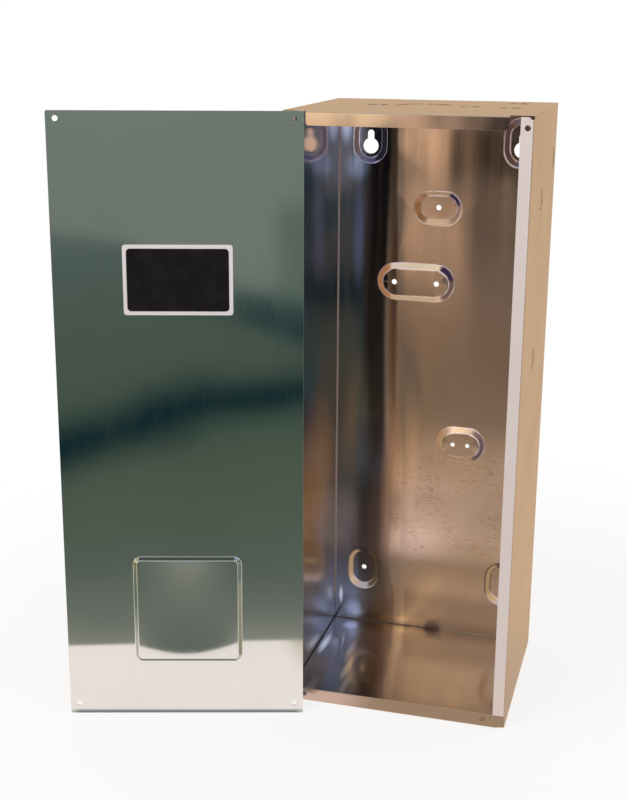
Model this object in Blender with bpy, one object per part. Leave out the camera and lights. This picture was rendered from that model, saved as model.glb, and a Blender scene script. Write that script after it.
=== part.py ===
# Open-fronted wall cabinet of folded stainless sheet, with its flat cover taken off and leaning on the front.
# Metres, +Z up. The front faces -Y, the back +Y, and the origin is the middle of the cabinet's underside.
import math

import bmesh
import bpy
from mathutils import Matrix, Vector

MM = 0.001

# Cabinet
boxWidth = 254.0 * MM
boxHeight = 666.0 * MM
boxDepth = 222.0 * MM
sheet = 1.2 * MM
bendRadius = 2.4 * MM  # on the outside of the fold
bendSteps = 6
seamGap = 0.3 * MM

# Front lips and flanges
topLipHeight = 15.0 * MM
topLipInset = 23.7 * MM  # from each side of the box
topLipCorner = 3.0 * MM
lipSlit = 1.0 * MM  # between the lip's fold and the level sheet beside it
bottomLipHeight = 15.5 * MM
cornerNotch = 7.5 * MM  # along the bottom fold, at each end
cornerNotchRise = 2.4 * MM
flangeWidth = 13.0 * MM
reliefSize = 2.5 * MM

# Screw holes
screwHole = 6.0 * MM  # diameter
screwRowInset = 6.0 * MM  # flange and cover holes, from each side of the box
flangeHoleDrop = 12.0 * MM
lipHoleInset = 24.0 * MM
lipHoleHeight = 9.2 * MM

# Drawn pads in the back
padDepth = 5.0 * MM
padRim = 8.6 * MM
padSteps = 12  # sides to half a turn
wallPadWidth = 43.0 * MM
wallPadLength = 59.0 * MM
wallPadInset = 38.1 * MM  # from each side of the box
keyPadDrop = 46.5 * MM  # drops are from the top of the box
lowerPadHeight = 74.0 * MM
wallHole = 6.4 * MM
keyCircle = 18.3 * MM
keySlot = 7.8 * MM
keyCircleDrop = 54.5 * MM
keySlotDrop = 35.8 * MM
crossPadX = -5.5 * MM
crossPadDrop = 124.0 * MM
widePadX = -29.5 * MM
widePadDrop = 213.5 * MM
widePadLength = 95.0 * MM
widePadWidth = 47.0 * MM
widePadHole = 6.4 * MM
widePadPitch = 51.0 * MM
smallPadX = 31.5 * MM
smallPadDrop = 412.0 * MM
smallPadLength = 61.5 * MM
smallPadWidth = 45.0 * MM
smallPadHole = 5.2 * MM
smallPadPitch = 18.0 * MM

# Knockouts: a disc sheared all round but for two tabs, at its front and rear, and left a little sunk
knockout = 22.2 * MM
largeKnockout = 60.0 * MM
shearWidth = 0.7 * MM
tabWidth = 2.4 * MM
knockoutSink = 0.7 * MM
knockoutSteps = 12
largeKnockoutSteps = 24
# Middles in the top as (from the right side, from the back, diameter, steps)
topKnockouts = (
    (182.0 * MM, 107.0 * MM, knockout, knockoutSteps),
    (133.0 * MM, 102.0 * MM, largeKnockout, largeKnockoutSteps),
    (81.5 * MM, 110.0 * MM, knockout, knockoutSteps),
    (38.0 * MM, 116.0 * MM, knockout, knockoutSteps),
    (38.0 * MM, 40.0 * MM, knockout, knockoutSteps),
)
# Middles in the right wall as (from the back, from the top)
wallKnockouts = (
    (25.0 * MM, 58.0 * MM),
    (125.0 * MM, 93.0 * MM),
    (129.0 * MM, 265.0 * MM),
)

# Cover
coverOverhang = 4.0 * MM  # past each side of the box when it is screwed on
coverCorner = 2.0 * MM
coverTopHoleDrop = 8.0 * MM
coverBottomHoleRise = 12.0 * MM
coverTurn = math.radians(16.5)  # about the vertical, away from the box's front
coverLean = math.radians(2.3)
coverCornerIn = 22.5 * MM  # its top right corner meets the box's front here, from the left side
squareX = 3.5 * MM
squareHeight = 125.5 * MM
squareWide = 120.0 * MM
squareTall = 125.0 * MM
squareCorner = 9.0 * MM
squareRim = 5.0 * MM
squareRise = 2.4 * MM

# Nameplate
plateWide = 114.5 * MM
plateTall = 73.7 * MM
plateDrop = 172.5 * MM  # from the cover's top
plateThick = 1.2 * MM
plateCorner = 3.0 * MM
plateRim = 3.9 * MM
plateRecess = 0.7 * MM
fieldThick = 0.4 * MM
recessCorner = 3.9 * MM

for old in list(bpy.data.objects):
    bpy.data.objects.remove(old, do_unlink=True)


def metal(name, colour, roughness, metallic):
    mat = bpy.data.materials.new(name)
    mat.use_nodes = True
    shader = mat.node_tree.nodes["Principled BSDF"]
    shader.inputs["Base Color"].default_value = (*colour, 1.0)
    shader.inputs["Roughness"].default_value = roughness
    shader.inputs["Metallic"].default_value = metallic
    mat.diffuse_color = (*colour, 1.0)
    return mat


# Outlines, anticlockwise, as flat points


def arcPoints(centre, radius, start, turn, steps):
    return [
        (
            centre[0] + radius * math.cos(start + turn * i / steps),
            centre[1] + radius * math.sin(start + turn * i / steps),
        )
        for i in range(steps + 1)
    ]


def circle(centre, diameter, steps=16):
    return arcPoints(centre, diameter / 2, 0, math.tau, steps)[:-1]


def obround(centre, length, width, upright, steps=padSteps):
    half = (length - width) / 2
    radius = width / 2
    start = 0 if upright else -math.pi / 2
    step = (0, half) if upright else (half, 0)
    far = (centre[0] + step[0], centre[1] + step[1])
    near = (centre[0] - step[0], centre[1] - step[1])
    return arcPoints(far, radius, start, math.pi, steps) + arcPoints(
        near, radius, start + math.pi, math.pi, steps
    )


def roundedRect(centre, wide, tall, radius, steps=4):
    points = []
    for i, (sx, sy) in enumerate(((1, -1), (1, 1), (-1, 1), (-1, -1))):
        corner = (centre[0] + sx * (wide / 2 - radius), centre[1] + sy * (tall / 2 - radius))
        points += arcPoints(corner, radius, -math.pi / 2 + i * math.pi / 2, math.pi / 2, steps)
    return points


def keyhole(x, circleY, topY):
    radius = keyCircle / 2
    half = keySlot / 2
    shoulder = math.asin(half / radius)
    round_ = arcPoints((x, circleY), radius, math.pi / 2 + shoulder, math.tau - 2 * shoulder, 20)
    return round_ + arcPoints((x, topY - half), half, 0, math.pi, 8)


# A sheet is drawn flat as (across, along, height), punched and pressed there, and then folded


def addLoop(bm, points):
    verts = [bm.verts.new((x, y, 0)) for x, y in points]
    return [bm.edges.new((verts[i - 1], verts[i])) for i in range(len(verts))]


def fillBetween(bm, edges):
    made = bmesh.ops.triangle_fill(bm, use_beauty=True, edges=edges, normal=(0, 0, 1))
    return [g for g in made["geom"] if isinstance(g, bmesh.types.BMFace)]


def pressPad(bm, outline, rim, rise, holes):
    """Presses the outline up by rise over a sloping rim, punches the holes and returns its outer edges."""
    face = bm.faces.new([bm.verts.new((x, y, 0)) for x, y in outline])
    face.normal_update()
    edges = []
    at = (0.0, 0.0)
    for d, h in ((0.09, 0.03), (0.19, 0.11), (0.81, 0.89), (0.91, 0.97), (1.0, 1.0)):
        ring = bmesh.ops.inset_region(
            bm,
            faces=[face],
            thickness=(d - at[0]) * rim,
            depth=(h - at[1]) * rise,
            use_even_offset=True,
            use_boundary=True,
        )
        edges = edges or [e for f in ring["faces"] for e in f.edges if e.is_boundary]
        at = (d, h)
    if holes:
        border = list(face.edges)
        bmesh.ops.delete(bm, geom=[face], context="FACES_ONLY")
        for hole in holes:
            verts = [bm.verts.new((x, y, rise)) for x, y in hole]
            border += [bm.edges.new((verts[i - 1], verts[i])) for i in range(len(verts))]
        fillBetween(bm, border)
    return edges


def pressKnockout(bm, centre, diameter, steps):
    """A disc sheared free but for two tabs, and left below the sheet. Returns the edges of its hole."""
    outer = diameter / 2
    half = tabWidth / outer / 2
    rim = []
    disc = []
    for start in (math.pi / 2 + half, 3 * math.pi / 2 + half):
        for x, y in arcPoints(centre, outer, start, math.pi - 2 * half, steps):
            rim.append(bm.verts.new((x, y, 0)))
        for x, y in arcPoints(centre, outer - shearWidth, start, math.pi - 2 * half, steps):
            disc.append(bm.verts.new((x, y, -knockoutSink)))
    edges = [bm.edges.new((rim[i - 1], rim[i])) for i in range(len(rim))]
    bm.faces.new(disc)
    for i in (0, steps + 1):
        bm.faces.new((rim[i - 1], rim[i], disc[i], disc[i - 1]))
    return edges


def bendStrip(bm, s0, s1, half0, half1):
    """The strip of a fold, in bendSteps across its arc."""
    rows = []
    for i in range(bendSteps + 1):
        t = i / bendSteps
        half = half0 + (half1 - half0) * t
        s = s0 + (s1 - s0) * t
        rows.append([bm.verts.new((-half, s, 0)), bm.verts.new((half, s, 0))])
    for a, b in zip(rows, rows[1:]):
        bm.faces.new((a[0], a[1], b[1], b[0]))


def foldSheet(bm, runs, start, ears=None):
    """Folds the flat sheet along runs of (length, bent), heading up from start.

    Ears are (half, fold end): points outside that half width and before that end stay level with the run
    after the fold.
    """
    for v in bm.verts:
        s = v.co.y
        short = 0.0
        if ears and abs(v.co.x) > ears[0] and s < ears[1]:
            short = ears[1] - s
            s = ears[1]
        at = Vector(start)
        heading = math.pi / 2
        for length, bent in runs:
            last = (length, bent) == runs[-1]
            here = s if last else min(s, length)
            if bent:
                centre = at + bendRadius * Vector((math.sin(heading), -math.cos(heading)))
                heading -= here / bendRadius
                at = centre - bendRadius * Vector((math.sin(heading), -math.cos(heading)))
            else:
                at = at + here * Vector((math.cos(heading), math.sin(heading)))
            s -= here
            if s <= 1e-9:
                break
        out = Vector((-math.sin(heading), math.cos(heading)))
        at = at + v.co.z * out - short * Vector((math.cos(heading), math.sin(heading)))
        v.co = (v.co.x, at.x, at.y)


def sheetObject(name, bm, material, thick=sheet):
    """Welds the skin, faces it outwards, and thickens it inwards."""
    bmesh.ops.remove_doubles(bm, verts=bm.verts, dist=1e-6)
    mesh = bpy.data.meshes.new(name)
    bm.to_mesh(mesh)
    bm.free()
    obj = bpy.data.objects.new(name, mesh)
    bpy.context.collection.objects.link(obj)
    mesh.materials.append(material)
    mesh.shade_smooth()
    mesh.set_sharp_from_angle(angle=math.radians(28))
    solid = obj.modifiers.new("Thickness", "SOLIDIFY")
    solid.thickness = thick
    solid.offset = -1
    solid.use_even_offset = True
    return obj


cabinetSteel = metal("cabinet_steel", (0.60, 0.52, 0.45), 0.22, 1.0)
wallSteel = metal("side_wall_steel", (0.66, 0.58, 0.51), 0.25, 1.0)
wallSteelLeft = metal("side_wall_left_steel", (0.63, 0.57, 0.53), 0.25, 1.0)
coverSteel = metal("cover_steel", (0.45, 0.50, 0.47), 0.18, 1.0)
plateMetal = metal("nameplate_metal", (0.72, 0.68, 0.70), 0.35, 1.0)
fieldPaint = metal("nameplate_paint", (0.015, 0.013, 0.015), 0.35, 0.0)

bend = bendRadius * math.pi / 2
sideHalf = boxWidth / 2
screwRowX = sideHalf - screwRowInset
coverWidth = boxWidth + 2 * coverOverhang
coverHeight = boxHeight


def makeWrapper():
    bm = bmesh.new()
    lipFlat = topLipHeight - bendRadius
    topFlat = boxDepth - 2 * bendRadius
    backFlat = boxHeight - 2 * bendRadius
    lowLipFlat = bottomLipHeight - bendRadius
    lipHalf = sideHalf - topLipInset
    notchHalf = sideHalf - cornerNotch
    starts = [0.0]
    runs = [
        (lipFlat, False),
        (bend, True),
        (topFlat, False),
        (bend, True),
        (backFlat, False),
        (bend, True),
        (topFlat, False),
        (bend, True),
        (lowLipFlat, False),
    ]
    for length, bent in runs:
        starts.append(starts[-1] + length)

    # Narrow lip at the top, with rounded lower corners
    r = topLipCorner
    left = arcPoints((-lipHalf + r, r), r, math.pi, math.pi / 2, 5)
    right = arcPoints((lipHalf - r, r), r, -math.pi / 2, math.pi / 2, 5)
    lip = left + right + [(lipHalf, starts[1]), (-lipHalf, starts[1])]
    fillBetween(bm, addLoop(bm, lip))
    bendStrip(bm, starts[1], starts[2], lipHalf, lipHalf)

    # Top, with its knockouts. Across is x, and along runs from front to back
    def topPoint(x, behind):
        return (x, starts[2] + behind - bendRadius)

    front = starts[2]
    earHalf = lipHalf + lipSlit
    top = [
        (-sideHalf, front - bendRadius),
        (-earHalf, front - bendRadius),
        (-earHalf, front),
        (-lipHalf, front),
        (lipHalf, front),
        (earHalf, front),
        (earHalf, front - bendRadius),
        (sideHalf, front - bendRadius),
        (sideHalf, starts[3]),
        (-sideHalf, starts[3]),
    ]
    edges = addLoop(bm, top)
    for inset, back, size, steps in topKnockouts:
        edges += pressKnockout(bm, topPoint(sideHalf - inset, boxDepth - back), size, steps)
    fillBetween(bm, edges)
    bendStrip(bm, starts[3], starts[4], sideHalf, sideHalf)

    # Back, with its pads. Along runs downwards
    def backPoint(x, drop):
        return (x, starts[4] + drop - bendRadius)

    edges = addLoop(
        bm,
        [
            (-sideHalf, starts[4]),
            (sideHalf, starts[4]),
            (sideHalf, starts[5]),
            (-sideHalf, starts[5]),
        ],
    )
    for side in (-1, 1):
        x = side * (sideHalf - wallPadInset)
        key = keyhole(x, -keyCircleDrop, -keySlotDrop)
        hole = [backPoint(px, -pz) for px, pz in reversed(key)]
        outline = obround(backPoint(x, keyPadDrop), wallPadLength, wallPadWidth, True)
        edges += pressPad(bm, outline, padRim, padDepth, [hole])
        middle = backPoint(x, boxHeight - lowerPadHeight)
        outline = obround(middle, wallPadLength, wallPadWidth, True)
        edges += pressPad(bm, outline, padRim, padDepth, [circle(middle, wallHole)])
    middle = backPoint(crossPadX, crossPadDrop)
    outline = obround(middle, wallPadLength, wallPadWidth, False)
    edges += pressPad(bm, outline, padRim, padDepth, [circle(middle, wallHole)])
    for x, drop, length, width, pitch, size in (
        (widePadX, widePadDrop, widePadLength, widePadWidth, widePadPitch, widePadHole),
        (smallPadX, smallPadDrop, smallPadLength, smallPadWidth, smallPadPitch, smallPadHole),
    ):
        holes = [circle(backPoint(x + side * pitch / 2, drop), size) for side in (-1, 1)]
        outline = obround(backPoint(x, drop), length, width, False)
        edges += pressPad(bm, outline, padRim, -padDepth, holes)
    fillBetween(bm, edges)
    bendStrip(bm, starts[5], starts[6], sideHalf, sideHalf)

    # Floor, and the full-width lip with its cut corners
    floor = [
        (-sideHalf, starts[6]),
        (sideHalf, starts[6]),
        (sideHalf, starts[7] - cornerNotchRise),
        (notchHalf, starts[7]),
        (-notchHalf, starts[7]),
        (-sideHalf, starts[7] - cornerNotchRise),
    ]
    fillBetween(bm, addLoop(bm, floor))
    bendStrip(bm, starts[7], starts[8], notchHalf, notchHalf)
    low = starts[8]
    lip = [
        (-notchHalf, low),
        (notchHalf, low),
        (sideHalf, low + cornerNotchRise),
        (sideHalf, starts[9]),
        (-sideHalf, starts[9]),
        (-sideHalf, low + cornerNotchRise),
    ]
    edges = addLoop(bm, lip)
    for side in (-1, 1):
        middle = (side * (sideHalf - lipHoleInset), low + lipHoleHeight - bendRadius)
        edges += addLoop(bm, circle(middle, screwHole))
    fillBetween(bm, edges)

    ears = (lipHalf + lipSlit / 2, front)
    foldSheet(bm, runs, (-boxDepth / 2, boxHeight - topLipHeight), ears)
    return sheetObject("wrapper", bm, cabinetSteel)


def makeSideWall(name, side, knockouts, material):
    """Front flange and web, drawn flat with the height across, folded, and stood up."""
    bm = bmesh.new()
    flangeFlat = flangeWidth - bendRadius
    low = sheet + seamGap
    high = boxHeight - sheet - seamGap
    flangeLow = bottomLipHeight + seamGap
    webStart = flangeFlat + bend
    webBack = webStart + boxDepth - bendRadius - sheet - seamGap
    flangeTop = high - reliefSize
    cut = bendRadius - sheet  # clears the inside of the wrapper's folds

    # Flange, relieved at both ends of the fold
    flange = [
        (flangeLow, 0),
        (high, 0),
        (high, flangeFlat - reliefSize),
        (flangeTop, flangeFlat),
        (flangeLow, flangeFlat),
    ]
    edges = addLoop(bm, flange)
    holeIn = screwRowX - (sideHalf - flangeWidth)
    edges += addLoop(bm, circle((boxHeight - flangeHoleDrop, holeIn), screwHole))
    fillBetween(bm, edges)
    rows = []
    for i in range(bendSteps + 1):
        s = flangeFlat + bend * i / bendSteps
        rows.append([bm.verts.new((flangeLow, s, 0)), bm.verts.new((flangeTop, s, 0))])
    for a, b in zip(rows, rows[1:]):
        bm.faces.new((a[0], a[1], b[1], b[0]))

    # Web, set back behind the bottom lip
    setBack = webStart + sheet + seamGap
    web = [
        (flangeLow, webStart),
        (flangeTop, webStart),
        (high, webStart + reliefSize),
        (high, webBack - cut),
        (high - cut, webBack),
        (low + cut, webBack),
        (low, webBack - cut),
        (low, setBack + cut),
        (low + cut, setBack),
        (flangeLow, setBack),
    ]
    edges = addLoop(bm, web)
    for back, drop in knockouts:
        middle = (boxHeight - drop, webStart + boxDepth - back - bendRadius)
        edges += pressKnockout(bm, middle, knockout, knockoutSteps)
    fillBetween(bm, edges)

    runs = [(flangeFlat, False), (bend, True), (webBack - webStart, False)]
    foldSheet(bm, runs, (-boxDepth / 2, sideHalf - flangeWidth))
    for v in bm.verts:
        height, y, x = v.co
        v.co = (side * x, y, height)
    bmesh.ops.remove_doubles(bm, verts=bm.verts, dist=1e-6)
    if side > 0:
        bmesh.ops.reverse_faces(bm, faces=bm.faces)
    return sheetObject(name, bm, material)


def coverPlacing():
    """The cover's pose: foot on the floor, and its back touching the box's front at the top right corner."""
    turn = Matrix.Rotation(coverTurn, 4, "Z") @ Matrix.Rotation(-coverLean, 4, "X")
    corner = turn @ Vector((coverWidth / 2, sheet, coverHeight))
    foot = turn @ Vector((0, sheet, 0))
    cornerX = coverCornerIn - sideHalf
    shift = Vector((cornerX - corner.x, -boxDepth / 2 - seamGap - corner.y, -foot.z))
    return Matrix.Translation(shift) @ turn


def makeCover():
    """Drawn flat with its front up, then stood on its lower edge."""
    bm = bmesh.new()
    edges = addLoop(bm, roundedRect((0, coverHeight / 2), coverWidth, coverHeight, coverCorner))
    for side in (-1, 1):
        for height in (coverBottomHoleRise, coverHeight - coverTopHoleDrop):
            edges += addLoop(bm, circle((side * screwRowX, height), screwHole))
    square = roundedRect((squareX, squareHeight), squareWide, squareTall, squareCorner, 6)
    edges += pressPad(bm, square, squareRim, squareRise, [])
    fillBetween(bm, edges)
    for v in bm.verts:
        v.co = (v.co.x, -v.co.z, v.co.y)
    return sheetObject("cover", bm, coverSteel)


def plateSolid(name, outline, front, thick, material, recess=None, depth=0.0):
    """A thin plate on the cover, its face at front. A recess outline is sunk into the face by depth."""
    bm = bmesh.new()
    rim = [bm.verts.new((x, front, z)) for x, z in outline]
    back = [bm.verts.new((x, front + thick, z)) for x, z in outline]
    edges = [bm.edges.new((rim[i - 1], rim[i])) for i in range(len(rim))]
    bm.faces.new(back)
    if recess:
        lip = [bm.verts.new((x, front, z)) for x, z in recess]
        sunk = [bm.verts.new((x, front + depth, z)) for x, z in recess]
        edges += [bm.edges.new((lip[i - 1], lip[i])) for i in range(len(lip))]
        bm.faces.new(sunk)
        wallBetween(bm, lip, sunk)
    bmesh.ops.triangle_fill(bm, use_beauty=True, edges=edges, normal=(0, -1, 0))
    wallBetween(bm, rim, back)
    bmesh.ops.recalc_face_normals(bm, faces=bm.faces)
    mesh = bpy.data.meshes.new(name)
    bm.to_mesh(mesh)
    bm.free()
    mesh.materials.append(material)
    mesh.shade_smooth()
    mesh.set_sharp_from_angle(angle=math.radians(28))
    obj = bpy.data.objects.new(name, mesh)
    bpy.context.collection.objects.link(obj)
    return obj


def wallBetween(bm, near, far):
    for i in range(len(near)):
        bm.faces.new((near[i - 1], near[i], far[i], far[i - 1]))


wrapper = makeWrapper()
wallLeft = makeSideWall("side_wall_left", -1, (), wallSteelLeft)
wallRight = makeSideWall("side_wall_right", 1, wallKnockouts, wallSteel)

coverPose = coverPlacing()
cover = makeCover()
cover.matrix_world = coverPose
plateFront = -seamGap - plateThick
plateMiddle = (0, coverHeight - plateDrop)
recessWide = plateWide - 2 * plateRim
recessTall = plateTall - 2 * plateRim
outline = roundedRect(plateMiddle, plateWide, plateTall, plateCorner)
recess = roundedRect(plateMiddle, recessWide, recessTall, recessCorner)
nameplate = plateSolid("nameplate", outline, plateFront, plateThick, plateMetal, recess, plateRecess)
fieldCorner = recessCorner - seamGap
outline = roundedRect(plateMiddle, recessWide - 2 * seamGap, recessTall - 2 * seamGap, fieldCorner)
fieldFront = plateFront + plateRecess - seamGap - fieldThick
field = plateSolid("nameplate_field", outline, fieldFront, fieldThick, fieldPaint)
nameplate.matrix_world = coverPose
field.matrix_world = coverPose
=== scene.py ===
import math

import bpy
from mathutils import Matrix, Vector


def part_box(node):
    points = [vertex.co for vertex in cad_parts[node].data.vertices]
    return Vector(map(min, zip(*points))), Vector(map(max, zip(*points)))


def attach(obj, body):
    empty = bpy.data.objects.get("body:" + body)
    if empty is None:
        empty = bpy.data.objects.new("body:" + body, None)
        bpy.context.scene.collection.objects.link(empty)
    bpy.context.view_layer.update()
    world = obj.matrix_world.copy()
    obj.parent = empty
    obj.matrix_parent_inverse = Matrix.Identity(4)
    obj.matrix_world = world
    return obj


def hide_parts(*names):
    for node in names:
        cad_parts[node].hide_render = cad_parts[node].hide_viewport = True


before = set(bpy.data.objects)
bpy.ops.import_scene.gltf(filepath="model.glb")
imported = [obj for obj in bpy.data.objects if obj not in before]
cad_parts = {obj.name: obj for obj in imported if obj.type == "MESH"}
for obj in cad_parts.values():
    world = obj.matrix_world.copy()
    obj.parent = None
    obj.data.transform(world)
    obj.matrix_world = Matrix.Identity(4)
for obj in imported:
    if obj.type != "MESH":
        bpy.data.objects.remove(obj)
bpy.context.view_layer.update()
print("frame loaded")

view = {
    "place": (0.27495, -1.40041, 0.75436),
    "turn": 0.27833,
    "tilt": 0.28474,
    "roll": -0.00443,
    "lens": 58.54,
    "sensor": 36,
    "nearest": 0.01,
}


def makeCamera():
    data = bpy.data.cameras.new("photoCamera")
    data.lens = view["lens"]
    data.sensor_width = view["sensor"]
    data.clip_start = view["nearest"]
    camera = bpy.data.objects.new("photoCamera", data)
    bpy.context.collection.objects.link(camera)
    camera.matrix_world = (
        Matrix.Translation(view["place"])
        @ Matrix.Rotation(view["turn"], 4, "Z")
        @ Matrix.Rotation(math.pi / 2 - view["tilt"], 4, "X")
        @ Matrix.Rotation(-view["roll"], 4, "Z")
    )
    bpy.context.scene.camera = camera


makeCamera()
print("camera placed")


# A socket that can be used in an expression
class Wire:
    def __init__(self, tree, socket=None):
        self.tree = tree
        self.socket = socket

    def node(self, kind, settings=None, values=None, output=0):
        made = self.tree.nodes.new("ShaderNode" + kind)
        for key, value in (settings or {}).items():
            if key == "stops":  # of a colour ramp, as (place, colour)
                ramp = made.color_ramp
                while len(ramp.elements) < len(value):
                    ramp.elements.new(0.5)
                for element, (place, tone) in zip(ramp.elements, value):
                    element.position = place
                    element.color = (*tone, 1)
            else:
                setattr(made, key, value)
        for key, value in (values or {}).items():
            if isinstance(value, Wire):
                self.tree.links.new(value.socket, made.inputs[key])
            else:
                made.inputs[key].default_value = value
        return Wire(self.tree, made.outputs[output])

    def math(self, operation, *terms):
        return self.node("Math", {"operation": operation}, dict(enumerate(terms)))

    def vector(self, operation, *terms):
        output = 1 if operation in ("DOT_PRODUCT", "DISTANCE", "LENGTH") else 0
        return self.node("VectorMath", {"operation": operation}, dict(enumerate((self, *terms))), output)

    def __add__(self, other):
        return self.math("ADD", self, other)

    def __radd__(self, other):
        return self.math("ADD", other, self)

    def __sub__(self, other):
        return self.math("SUBTRACT", self, other)

    def __rsub__(self, other):
        return self.math("SUBTRACT", other, self)

    def __mul__(self, other):
        return self.math("MULTIPLY", self, other)

    def __rmul__(self, other):
        return self.math("MULTIPLY", other, self)

    def __truediv__(self, other):
        return self.math("DIVIDE", self, other)

    def __neg__(self):
        return self.math("MULTIPLY", self, -1)

    def __abs__(self):
        return self.math("ABSOLUTE", self)

    def atMost(self, most):
        return self.math("MINIMUM", self, most)


def newTree(name):
    material = bpy.data.materials.new(name)
    material.use_nodes = True
    material.node_tree.nodes.clear()
    return material, Wire(material.node_tree)


def placeOf(tree):  # on the piece, in metres
    return tree.node("TexCoord", output=3)


def facingOf(tree):  # which way its surface looks
    return tree.node("TexCoord", output=1)


def axes(tree, where):
    return [tree.node("SeparateXYZ", values={0: where}, output=i) for i in range(3)]


# Of two colours, each a wire or three numbers
def mixed(tree, factor, first, second):
    ends = [tone if isinstance(tone, Wire) else (*tone, 1) for tone in (first, second)]
    return tree.node("Mix", {"data_type": "RGBA"}, {0: factor, 6: ends[0], 7: ends[1]}, output=2)


# 0 below low and 1 above high, with a soft slope between
def span(value, low, high):
    settings = {"interpolation_type": "SMOOTHSTEP"}
    return value.node("MapRange", settings, {0: value, 1: low, 2: high, 3: 0.0, 4: 1.0})


# The same, with its ends measured from a place
def spanFrom(value, place, ends):
    return span(value, place + ends[0], place + ends[1])


def between(value, low, high, soft):
    return span(value, low - soft, low + soft) * (1 - span(value, high - soft, high + soft))


def noise(tree, where, scale, detail=3.0, rough=0.5):
    values = {"Vector": where, "Scale": scale, "Detail": detail, "Roughness": rough}
    return tree.node("TexNoise", values=values)


def stretched(tree, where, scale):
    return tree.node("Mapping", values={"Vector": where, "Scale": scale})


# Colours by height, as (z, colour) pairs that begin near the floor
def heights(tree, z, stops):
    high = stops[-1][0]
    return tree.node("ValToRGB", {"stops": [(at / high, tone) for at, tone in stops]}, {0: z / high})


gleamCore = 0.15  # share of a gleam's reach that has its full colour


# Soft spots of added light within a mask, as (middle, reach, colour)
def gleams(tree, where, spots, mask, glow):
    for middle, reach, colour in spots:
        away = where.vector("SUBTRACT", middle).vector("DIVIDE", reach).vector("LENGTH")
        glow = mixed(tree, mask * (1 - span(away, gleamCore, 1.0)), glow, colour)
    return glow


def shaded(tree, base, rough, normal, metallic=1.0, glow=None, **fixed):
    shader = tree.tree.nodes.new("ShaderNodeBsdfPrincipled")
    wired = {"Base Color": base, "Roughness": rough, "Metallic": metallic, "Normal": normal}
    if glow is not None:
        wired["Emission Color"] = glow
        fixed["Emission Strength"] = 1.0
    for key, value in wired.items():
        if isinstance(value, Wire):
            tree.tree.links.new(value.socket, shader.inputs[key])
        else:
            shader.inputs[key].default_value = value
    for key, value in fixed.items():
        shader.inputs[key.replace("_", " ")].default_value = value
    output = tree.tree.nodes.new("ShaderNodeOutputMaterial")
    tree.tree.links.new(shader.outputs[0], output.inputs[0])


# Where the cover leans: the middle of its foot, and the ways along it, off its front and up it
coverPlace = {
    "foot": (-0.22217, -0.17528, 0.0),
    "across": (0.95882, 0.28402, 0.0),
    "out": (0.28379, -0.95805, 0.04013),
    "up": (-0.01140, 0.03848, 0.99919),
}

table = {
    "size": (9.0, 5.0),
    "edge": (-0.19, -0.38),  # a point of its front edge
    "edgeTurn": 13.0,  # degrees, nearly along the cover
    "drop": 0.0004,  # below the cabinet
    "colour": (0.86, 0.83, 0.80),
    "shadow": 0.2,  # share of the real shade that is kept near the cabinet
    "shadowEnds": (0.35, 0.9),
    "mirroredLeft": (1.25, 0.97, 0.98),
    "mirroredRight": (0.70, 0.53, 0.42),
    "leftToRight": (-0.075, -0.02),
    "mirroredFarLeft": (0.30, 0.31, 0.28),
    "farLeft": (-0.55, -0.38),
    "mirroredBehind": (0.80, 0.58, 0.39),
    "behind": (-0.1, 0.25),
    "mirroredFoot": (0.30, 0.28, 0.29),  # a strip where the cover stands
    "footStrip": (-0.01, 0.009, 0.004),
    "footEnds": (0.12, 0.14),
    "mirroredGap": (0.10, 0.075, 0.055),  # between the cover and the cabinet
    "gap": (-0.235, -0.085, 0),
    "gapReach": (0.072, 0.12),
    "gapAhead": (-0.012, -0.004),
}


def makeTable():
    bpy.ops.object.select_all(action="DESELECT")
    bpy.ops.mesh.primitive_plane_add(size=1, location=(0, 0, 0))
    top = bpy.context.object
    top.name = "tableTop"
    top.scale = (*table["size"], 1)
    bpy.ops.object.transform_apply(location=False, rotation=False, scale=True)
    turn = math.radians(table["edgeTurn"])
    deep = table["size"][1] / 2
    edge = table["edge"]
    top.rotation_euler.z = turn
    top.location = (edge[0] - deep * math.sin(turn), edge[1] + deep * math.cos(turn), -table["drop"])
    bpy.ops.object.transform_apply(location=True, rotation=True, scale=True)
    top.data.materials.append(tableFinish())


# Pale to the camera, and to the steel what the photo's table shows in it
def tableFinish():
    material, tree = newTree("paleTable")
    where = placeOf(tree)
    x, y = axes(tree, where)[:2]
    tone = mixed(tree, span(x, *table["leftToRight"]), table["mirroredLeft"], table["mirroredRight"])
    tone = mixed(tree, 1 - span(x, *table["farLeft"]), tone, table["mirroredFarLeft"])
    tone = mixed(tree, span(y, *table["behind"]), tone, table["mirroredBehind"])
    offset = where.vector("SUBTRACT", coverPlace["foot"])
    ahead = offset.vector("DOT_PRODUCT", coverPlace["out"])
    beside = abs(offset.vector("DOT_PRODUCT", coverPlace["across"]))
    strip = between(ahead, *table["footStrip"]) * (1 - span(beside, *table["footEnds"]))
    tone = mixed(tree, strip, tone, table["mirroredFoot"])
    gap = 1 - span(where.vector("DISTANCE", table["gap"]), *table["gapReach"])
    tone = mixed(tree, gap * (1 - span(ahead, *table["gapAhead"])), tone, table["mirroredGap"])
    mirrored = tree.node("Emission", values={"Color": tone, "Strength": 1.0})
    diffuse = tree.node("BsdfDiffuse", values={"Color": (*table["colour"], 1)})
    white = tree.node("Emission", values={"Color": (1, 1, 1, 1), "Strength": 1.0})
    glow = 1 - table["shadow"] * (1 - span(where.vector("LENGTH"), *table["shadowEnds"]))
    camera, glossy, through = [tree.node("LightPath", output=i) for i in (0, 3, 6)]
    seen = tree.node("MixShader", values={0: (camera + through) * glow, 1: diffuse, 2: white})
    both = tree.node("MixShader", values={0: glossy, 1: seen, 2: mirrored})
    output = tree.tree.nodes.new("ShaderNodeOutputMaterial")
    tree.tree.links.new(both.socket, output.inputs[0])
    return material


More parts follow.
